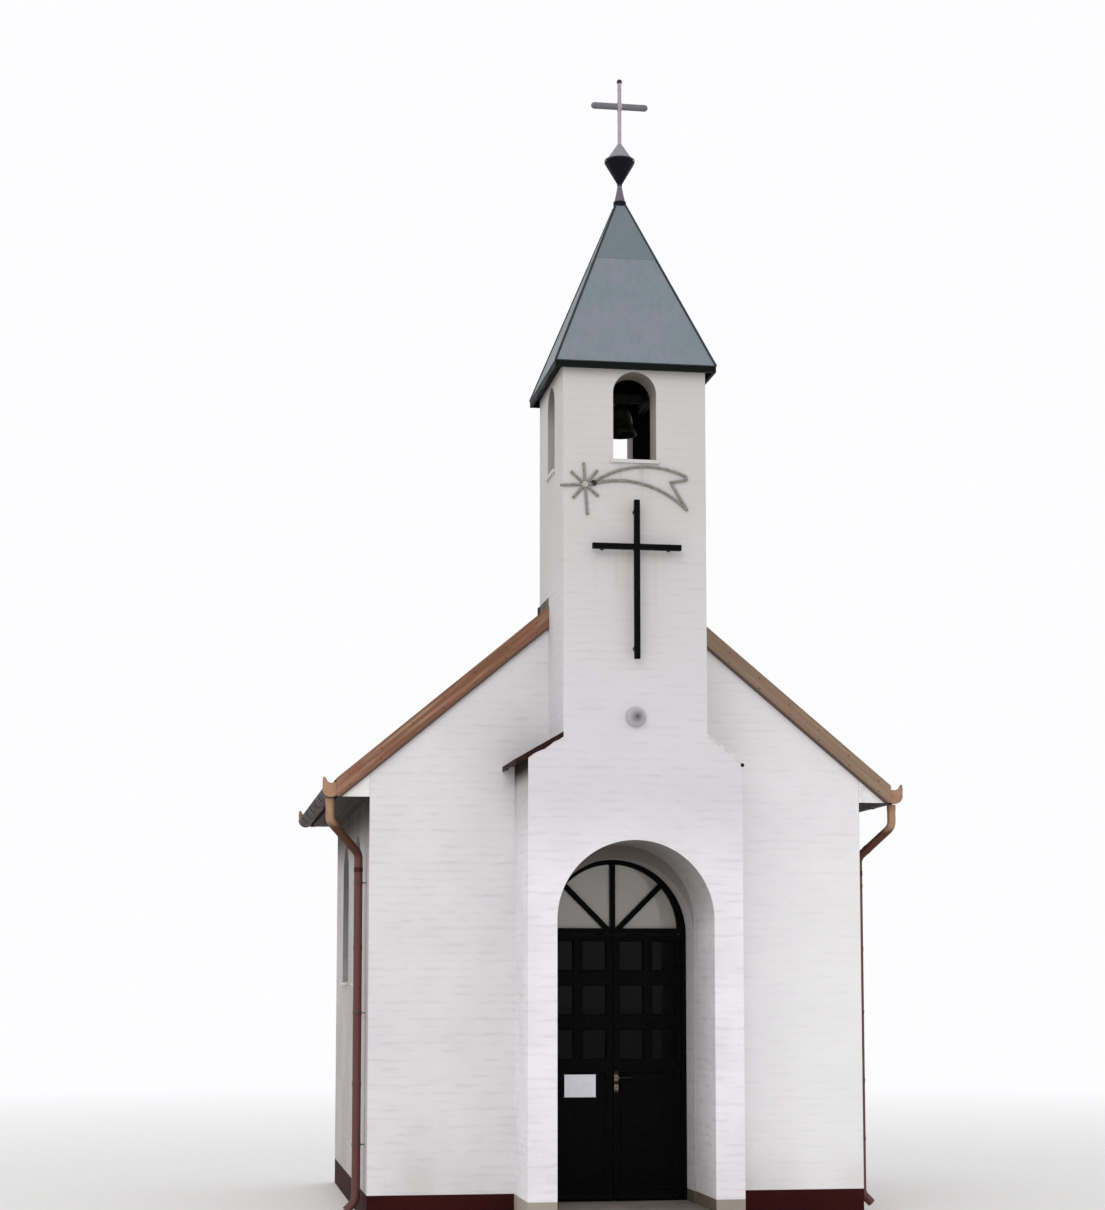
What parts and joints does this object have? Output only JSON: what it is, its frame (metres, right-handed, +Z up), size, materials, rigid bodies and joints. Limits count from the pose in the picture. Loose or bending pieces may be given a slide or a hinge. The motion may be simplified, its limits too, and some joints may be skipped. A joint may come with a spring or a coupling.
{
  "type": "small chapel",
  "caption": "Small whitewashed chapel with a pitched roof, an arched porch with double doors and a square belfry tower with a spire.",
  "frame": {"origin": "on the building's axis, at the outer face of the gable wall, on the ground", "axes": "+X across the front to the right, +Y into the building, +Z up"},
  "size_m": [5.518, 5.395, 10.78],
  "materials": {
    "floor_stone": "worn grey-brown concrete",
    "white_render": "white limewashed render",
    "dark_sheet": "dark painted steel",
    "white_sheet": "white painted sheet",
    "frame_wood": "weathered dark timber",
    "bell_bronze": "dark patinated bronze",
    "spire_zinc": "grey zinc sheet",
    "cross_tube": "grey painted tube",
    "roof_tile": "dark brown clay tile",
    "verge_wood": "tan brown stained board",
    "white_board": "white painted board",
    "gutter_copper": "copper brown sheet",
    "pipe_brown": "reddish brown pipe",
    "door_black": "black satin paint",
    "glass": "clear window glass",
    "handle_brass": "worn brass",
    "window_wood": "white painted wood",
    "lamp_glass": "opal glass",
    "comet_tube": "grey-green light tube"
  },
  "bodies": {
    "building": {"nave_floor": "floor_stone", "porch_floor": "floor_stone", "front_wall_left": "white_render", "front_wall_right": "white_render", "front_wall_head": "white_render", "gable_left": "white_render", "gable_right": "white_render", "side_wall_left": "white_render", "side_wall_right": "white_render", "back_wall": "white_render", "portal_pier_left": "white_render", "portal_pier_right": "white_render", "portal_vault": "white_render", "shoulder_cap_left": "dark_sheet", "shoulder_cap_right": "white_sheet", "tower_shaft": "white_render", "belfry_floor": "white_render", "belfry_front": "white_render", "belfry_back": "white_render", "belfry_left": "white_render", "belfry_right": "white_render", "bell_frame": "frame_wood", "spire": "spire_zinc", "finial": "spire_zinc", "spire_cross": "cross_tube", "roof_left": "roof_tile", "roof_right": "roof_tile", "verge_front_left": "verge_wood", "verge_front_right": "verge_wood", "verge_back": "verge_wood", "eave_left": "white_board", "eave_right": "white_board", "gutter_left": "gutter_copper", "gutter_right": "gutter_copper", "downpipe_left": "pipe_brown", "downpipe_right": "pipe_brown", "door_frame": "door_black", "fanlight_glass": "glass", "window_frames_left": "window_wood", "window_frames_right": "window_wood", "window_glass_left": "glass", "window_glass_right": "glass", "wall_cross": "dark_sheet", "wall_lamp": "lamp_glass", "comet_star": "comet_tube"},
    "door_left": {"door_leaf_left": "door_black", "door_glass_left": "glass"},
    "door_right": {"door_leaf_right": "door_black", "door_glass_right": "glass", "door_handle": "handle_brass"},
    "bell": {"bell": "bell_bronze"}
  },
  "joints": [
    {"name": "door_left_hinge", "type": "hinge", "parent": "building", "child": "door_left", "pos_m": [-0.6552, 0.369, 0], "axis": [0, 0, 1], "range_deg": [0, 90]},
    {"name": "door_right_hinge", "type": "hinge", "parent": "building", "child": "door_right", "pos_m": [0.6552, 0.369, 0], "axis": [0, 0, -1], "range_deg": [0, 90]},
    {"name": "bell_swing", "type": "hinge", "parent": "building", "child": "bell", "pos_m": [0, -0.15, 7.66], "axis": [1, 0, 0], "range_deg": [-25, 25]}
  ]
}
